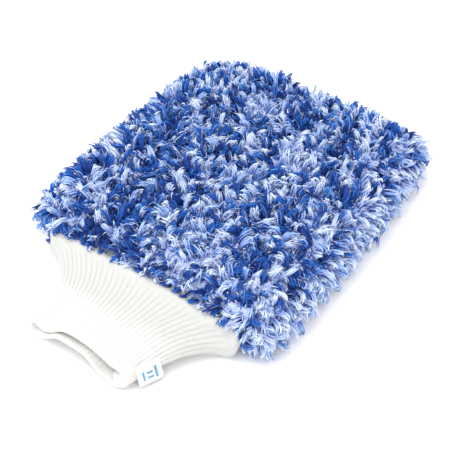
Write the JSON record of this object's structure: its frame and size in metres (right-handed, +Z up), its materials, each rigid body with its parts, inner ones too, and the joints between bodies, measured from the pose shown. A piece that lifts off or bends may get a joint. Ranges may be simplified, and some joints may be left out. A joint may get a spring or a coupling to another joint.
{
  "type": "wash mitt",
  "caption": "Slip-on hand wash mitt: blue and white shaggy plush body with a soft lining, a gathered white ribbed knit cuff and a small folded label.",
  "frame": {"origin": "on the resting surface, under the middle of the whole mitt", "axes": "+Y from the cuff's mouth to the fingertip end, +X across the mitt, +Z up through its thickness"},
  "size_m": [0.208, 0.285, 0.045],
  "materials": {
    "plush_pile": "shaggy two-colour microfibre pile, royal blue and white",
    "ground_cloth": "plain knitted ground cloth",
    "lining_cloth": "smooth brushed knit",
    "rib_knit": "soft matte rib knit, two layers",
    "seam_thread": "spun sewing thread",
    "label_tape": "smooth woven tape with pale blue bars"
  },
  "bodies": {
    "mitt_lower": {"pile_bottom": "plush_pile", "backing_bottom": "ground_cloth", "edge_seam": "seam_thread", "lining_bottom": "lining_cloth", "lining_seam": "lining_cloth", "cuff_seam_bottom": "seam_thread", "cuff_lower": "rib_knit", "cuff_side_seam": "seam_thread", "label_stitching": "label_tape"},
    "mitt_upper": {"pile_top": "plush_pile", "backing_top": "ground_cloth", "lining_top": "lining_cloth", "cuff_seam_top": "seam_thread", "cuff_upper": "rib_knit"},
    "label_flap": {"label": "label_tape"}
  },
  "joints": [
    {"name": "hand_opening", "type": "hinge", "parent": "mitt_lower", "child": "mitt_upper", "pos_m": [0, 0.1425, 0.017], "axis": [-1, 0, 0], "range_deg": [0, 6], "stiffness_Nm_per_rad": 1.5, "springref_deg": -2.86},
    {"name": "label_lift", "type": "hinge", "parent": "mitt_lower", "child": "label_flap", "pos_m": [0.04848, -0.1185, 0.012], "axis": [-0.4073, -0.9133, 0], "range_deg": [0, 120], "stiffness_Nm_per_rad": 0.00006}
  ]
}
